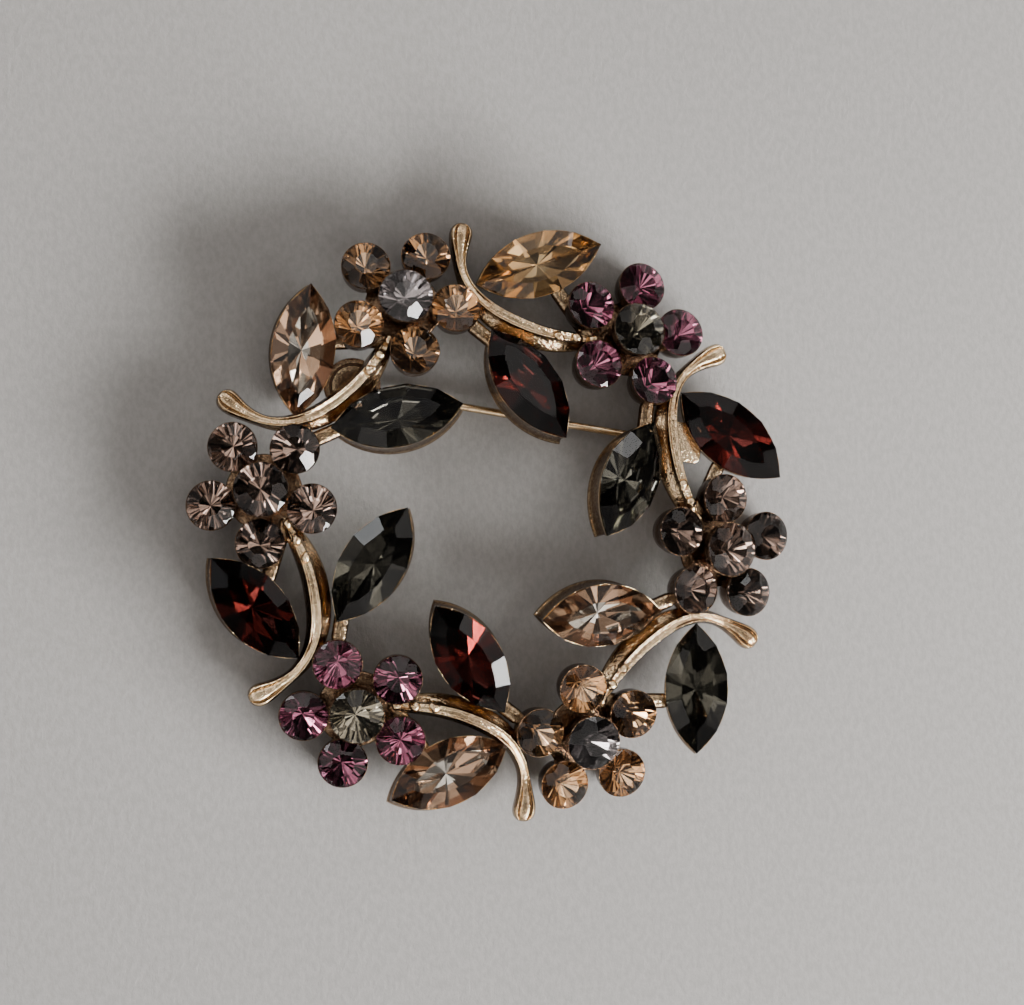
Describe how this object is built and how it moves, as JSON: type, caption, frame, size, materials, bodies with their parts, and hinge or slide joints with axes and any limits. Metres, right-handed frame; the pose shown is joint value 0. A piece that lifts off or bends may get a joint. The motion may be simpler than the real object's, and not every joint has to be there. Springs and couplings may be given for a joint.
{
  "type": "wreath brooch",
  "caption": "Round open wreath brooch of glass flowers and pointed glass leaves in cast metal cups, with twigs and a hinged pin across the back.",
  "frame": {"origin": "middle of the wreath, on the surface that the brooch lies on with its face up", "axes": "+Z out of the face of the brooch; +X to the right and +Y to the top of the wreath as it is seen from the front"},
  "size_m": [0.0558, 0.0544, 0.007],
  "materials": {
    "cast_metal": "polished rose-gold plating on a cast alloy, finely pitted",
    "pin_wire": "polished wire",
    "topaz_glass": "faceted, foiled behind",
    "amethyst_glass": "faceted, foiled behind",
    "smoky_glass": "faceted, foiled behind",
    "black_diamond_glass": "faceted, foiled behind",
    "garnet_glass": "faceted, foiled behind",
    "dark_grey_glass": "faceted, foiled behind",
    "champagne_glass": "faceted, foiled behind"
  },
  "bodies": {
    "brooch": {"wreath_setting": "cast_metal", "hinge_rivet": "cast_metal", "flower_1_petal_1": "topaz_glass", "flower_1_petal_2": "topaz_glass", "flower_1_petal_3": "topaz_glass", "flower_1_petal_4": "topaz_glass", "flower_1_petal_5": "topaz_glass", "flower_1_centre": "black_diamond_glass", "outer_leaf_1": "topaz_glass", "inner_leaf_1": "garnet_glass", "flower_2_petal_1": "amethyst_glass", "flower_2_petal_2": "amethyst_glass", "flower_2_petal_3": "amethyst_glass", "flower_2_petal_4": "amethyst_glass", "flower_2_petal_5": "amethyst_glass", "flower_2_centre": "black_diamond_glass", "outer_leaf_2": "garnet_glass", "inner_leaf_2": "dark_grey_glass", "flower_3_petal_1": "smoky_glass", "flower_3_petal_2": "smoky_glass", "flower_3_petal_3": "smoky_glass", "flower_3_petal_4": "smoky_glass", "flower_3_petal_5": "smoky_glass", "flower_3_centre": "smoky_glass", "outer_leaf_3": "dark_grey_glass", "inner_leaf_3": "champagne_glass", "flower_4_petal_1": "topaz_glass", "flower_4_petal_2": "topaz_glass", "flower_4_petal_3": "topaz_glass", "flower_4_petal_4": "topaz_glass", "flower_4_petal_5": "topaz_glass", "flower_4_centre": "black_diamond_glass", "outer_leaf_4": "champagne_glass", "inner_leaf_4": "garnet_glass", "flower_5_petal_1": "amethyst_glass", "flower_5_petal_2": "amethyst_glass", "flower_5_petal_3": "amethyst_glass", "flower_5_petal_4": "amethyst_glass", "flower_5_petal_5": "amethyst_glass", "flower_5_centre": "black_diamond_glass", "outer_leaf_5": "garnet_glass", "inner_leaf_5": "dark_grey_glass", "flower_6_petal_1": "smoky_glass", "flower_6_petal_2": "smoky_glass", "flower_6_petal_3": "smoky_glass", "flower_6_petal_4": "smoky_glass", "flower_6_petal_5": "smoky_glass", "flower_6_centre": "smoky_glass", "outer_leaf_6": "champagne_glass", "inner_leaf_6": "dark_grey_glass"},
    "pin_arm": {"pin": "pin_wire"}
  },
  "joints": [
    {"name": "pin_hinge", "type": "hinge", "parent": "brooch", "child": "pin_arm", "pos_m": [-0.01269, 0.01221, 0.00091], "axis": [0.1647, 0.9863, 0], "range_deg": [0, 100]}
  ]
}
